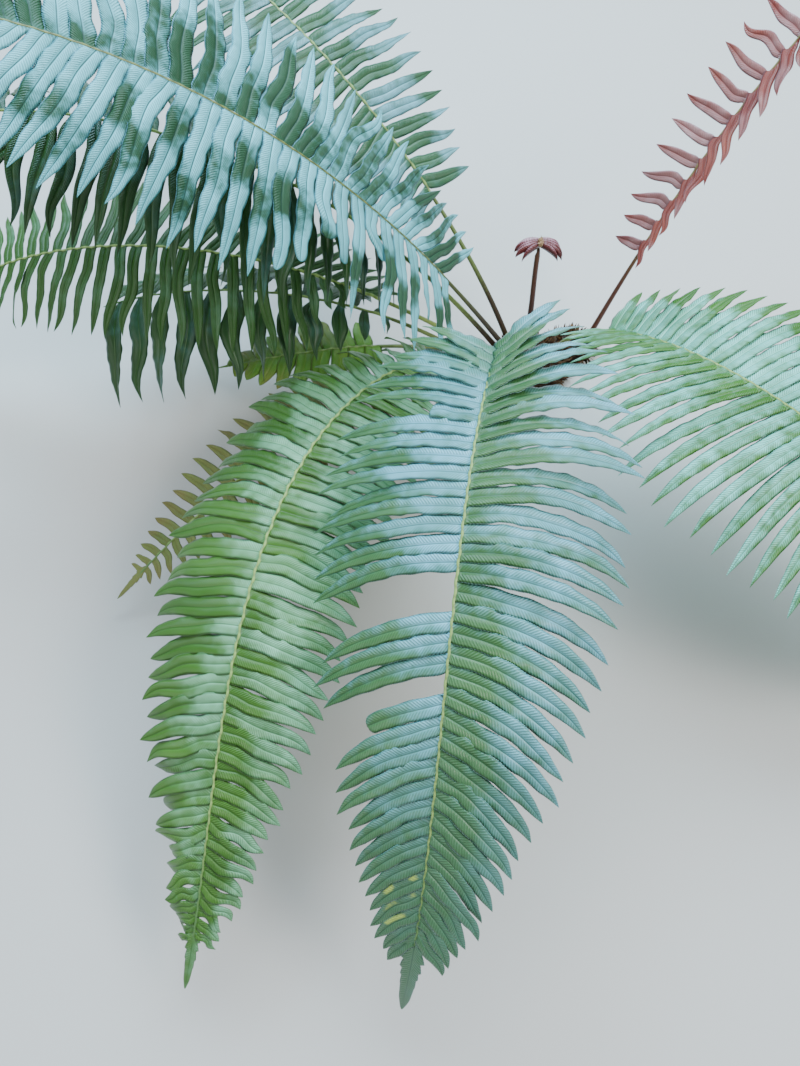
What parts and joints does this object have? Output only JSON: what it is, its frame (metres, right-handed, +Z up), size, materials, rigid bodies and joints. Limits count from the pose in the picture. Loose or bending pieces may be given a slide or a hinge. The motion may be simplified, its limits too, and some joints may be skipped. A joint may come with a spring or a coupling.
{
  "type": "hard fern",
  "caption": "Tufted hard fern with long arching comb-like fronds spreading over the ground from a short scaly crown, with a young red frond and a curled bud",
  "frame": {"origin": "middle of the crown's flat underside, at ground level", "axes": "+Z up, +Y away from the picture's viewer, +X to the picture's right"},
  "size_m": [1.566, 1.5972, 0.6247],
  "materials": {
    "crown": "rough, scaly",
    "stem": "satin",
    "stem_young": "glossy",
    "frond_green": "leathery, satin",
    "frond_dark": "leathery, satin",
    "frond_blue_green": "leathery, satin",
    "frond_pale": "leathery, satin",
    "frond_faded": "dull",
    "frond_red": "satin",
    "frond_curled": "satin"
  },
  "bodies": {
    "root": {"blade_back_left_inner": "frond_green", "blade_back_left_outer": "frond_green", "blade_faded": "frond_faded", "blade_front_centre_inner": "frond_green", "blade_front_centre_outer": "frond_green", "blade_front_left_inner": "frond_green", "blade_front_left_outer": "frond_green", "blade_left_top_inner": "frond_blue_green", "blade_left_top_outer": "frond_blue_green", "blade_left_under_inner": "frond_green", "blade_left_under_outer": "frond_green", "blade_low_dark": "frond_dark", "blade_right_inner": "frond_blue_green", "blade_right_outer": "frond_blue_green", "blade_short_old": "frond_pale", "blade_under_top_inner": "frond_dark", "blade_under_top_outer": "frond_dark", "blade_young_red": "frond_red", "crown": "crown", "crozier_head": "frond_curled", "stem_back_left": "stem", "stem_crozier": "stem_young", "stem_faded": "stem", "stem_front_centre": "stem", "stem_front_left": "stem", "stem_left_top": "stem", "stem_left_under": "stem", "stem_low_dark": "stem", "stem_right": "stem", "stem_short_old": "stem", "stem_under_top": "stem", "stem_young_red": "stem_young"}
  },
  "joints": []
}
